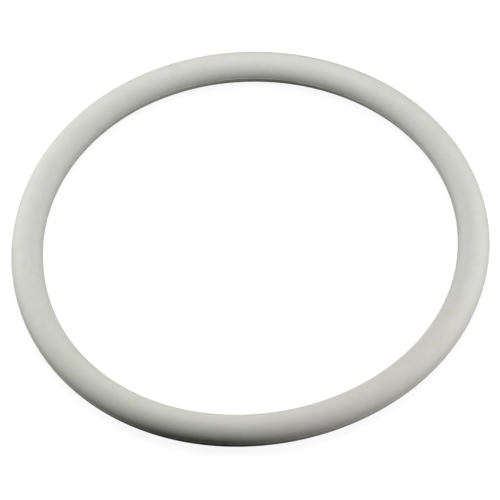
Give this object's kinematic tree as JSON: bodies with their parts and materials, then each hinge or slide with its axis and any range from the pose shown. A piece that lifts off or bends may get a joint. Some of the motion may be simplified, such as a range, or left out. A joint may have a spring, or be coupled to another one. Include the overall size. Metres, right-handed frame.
{
  "type": "o-ring",
  "caption": "Moulded rubber sealing ring of round section, off-white, lying flat, for a groove on a shaft, in a bore or between faces.",
  "frame": {"origin": "middle of the hole, level with the parting line at half the ring's height", "axes": "+Z along the ring's axis, upwards as it lies flat; X and Y are equal, because the ring is the same all round"},
  "size_m": [0.0544, 0.0544, 0.0036],
  "materials": {
    "seal_rubber": "satin"
  },
  "bodies": {
    "root": {"o_ring": "seal_rubber"}
  },
  "joints": []
}
